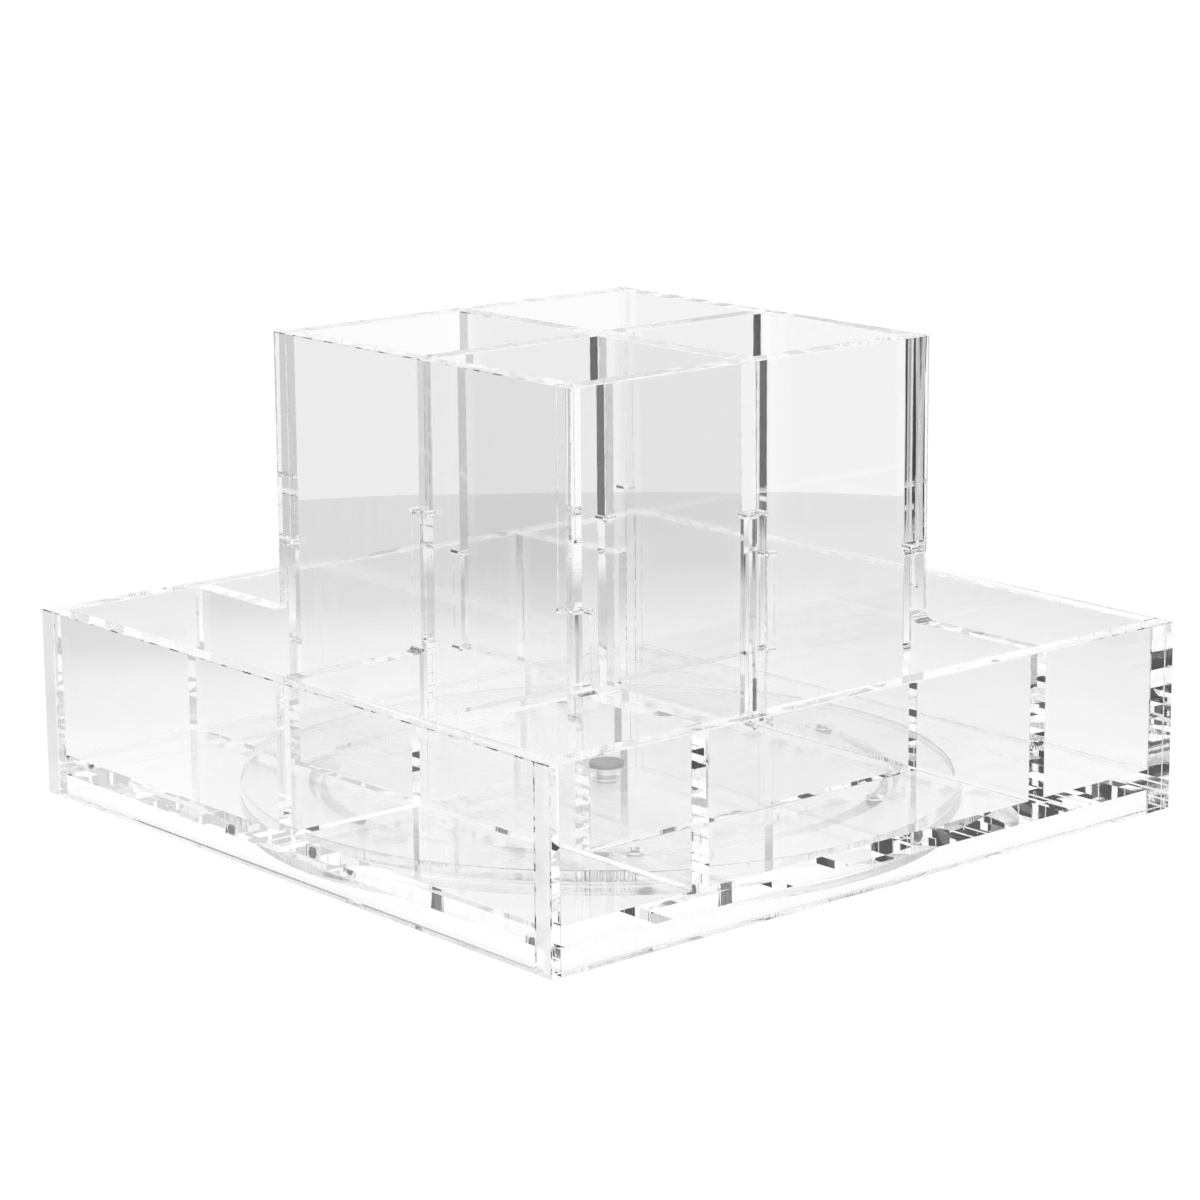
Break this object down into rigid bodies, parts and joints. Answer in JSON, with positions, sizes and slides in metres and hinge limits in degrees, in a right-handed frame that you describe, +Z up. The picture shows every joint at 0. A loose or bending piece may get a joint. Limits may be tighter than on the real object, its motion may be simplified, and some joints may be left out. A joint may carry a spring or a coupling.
{
  "type": "desk organizer",
  "caption": "Clear square desk organizer: a low divided tray with a tall divided tower in its middle, cemented from slotted sheet, turning on a two-disc ball-bearing base.",
  "frame": {"origin": "on the desk under the middle of the turntable", "axes": "+X along the front wall to the right, +Y from the front wall to the back wall, +Z up along the turning axis"},
  "size_m": [0.23, 0.23, 0.1395],
  "materials": {
    "clear_sheet": "clear polished acrylic sheet with machined edges",
    "clear_disc": "clear polished acrylic with a turned edge",
    "pad": "clear soft pad",
    "ball": "polished steel",
    "pivot_steel": "turned steel"
  },
  "bodies": {
    "base": {"lower_disc": "clear_disc", "pivot_screw": "pivot_steel", "pivot_nut": "pivot_steel", "foot_pad_1": "pad", "foot_pad_2": "pad", "foot_pad_3": "pad", "foot_pad_4": "pad", "foot_pad_5": "pad", "foot_pad_6": "pad"},
    "tray": {"left_wall": "clear_sheet", "right_wall": "clear_sheet", "front_wall": "clear_sheet", "back_wall": "clear_sheet", "floor_plate": "clear_sheet", "front_tower_panel": "clear_sheet", "back_tower_panel": "clear_sheet", "left_tower_panel": "clear_sheet", "right_tower_panel": "clear_sheet", "long_divider": "clear_sheet", "cross_divider": "clear_sheet", "upper_disc": "clear_disc"},
    "ball_1": {"bearing_ball_1": "ball"},
    "ball_2": {"bearing_ball_2": "ball"},
    "ball_3": {"bearing_ball_3": "ball"},
    "ball_4": {"bearing_ball_4": "ball"},
    "ball_5": {"bearing_ball_5": "ball"},
    "ball_6": {"bearing_ball_6": "ball"}
  },
  "joints": [
    {"name": "tray_spin", "type": "hinge", "parent": "base", "child": "tray", "pos_m": [0, 0, 0.009], "axis": [0, 0, 1], "continuous": true},
    {"name": "ball_1_roll", "type": "hinge", "parent": "tray", "child": "ball_1", "pos_m": [0.0728, 0.03551, 0.00547], "axis": [0.8988, 0.4384, 0], "continuous": true},
    {"name": "ball_2_roll", "type": "hinge", "parent": "tray", "child": "ball_2", "pos_m": [0.00565, 0.0808, 0.00547], "axis": [0.0698, 0.9976, 0], "continuous": true},
    {"name": "ball_3_roll", "type": "hinge", "parent": "tray", "child": "ball_3", "pos_m": [-0.06715, 0.0453, 0.00547], "axis": [-0.829, 0.5592, 0], "continuous": true},
    {"name": "ball_4_roll", "type": "hinge", "parent": "tray", "child": "ball_4", "pos_m": [-0.0728, -0.03551, 0.00547], "axis": [-0.8988, -0.4384, 0], "continuous": true},
    {"name": "ball_5_roll", "type": "hinge", "parent": "tray", "child": "ball_5", "pos_m": [-0.00565, -0.0808, 0.00547], "axis": [-0.0698, -0.9976, 0], "continuous": true},
    {"name": "ball_6_roll", "type": "hinge", "parent": "tray", "child": "ball_6", "pos_m": [0.06715, -0.0453, 0.00547], "axis": [0.829, -0.5592, 0], "continuous": true}
  ],
  "couplings": [
    {"joint": "ball_1_roll", "follows": "tray_spin", "ratio": -34.034},
    {"joint": "ball_2_roll", "follows": "tray_spin", "ratio": -34.034},
    {"joint": "ball_3_roll", "follows": "tray_spin", "ratio": -34.034},
    {"joint": "ball_4_roll", "follows": "tray_spin", "ratio": -34.034},
    {"joint": "ball_5_roll", "follows": "tray_spin", "ratio": -34.034},
    {"joint": "ball_6_roll", "follows": "tray_spin", "ratio": -34.034}
  ]
}
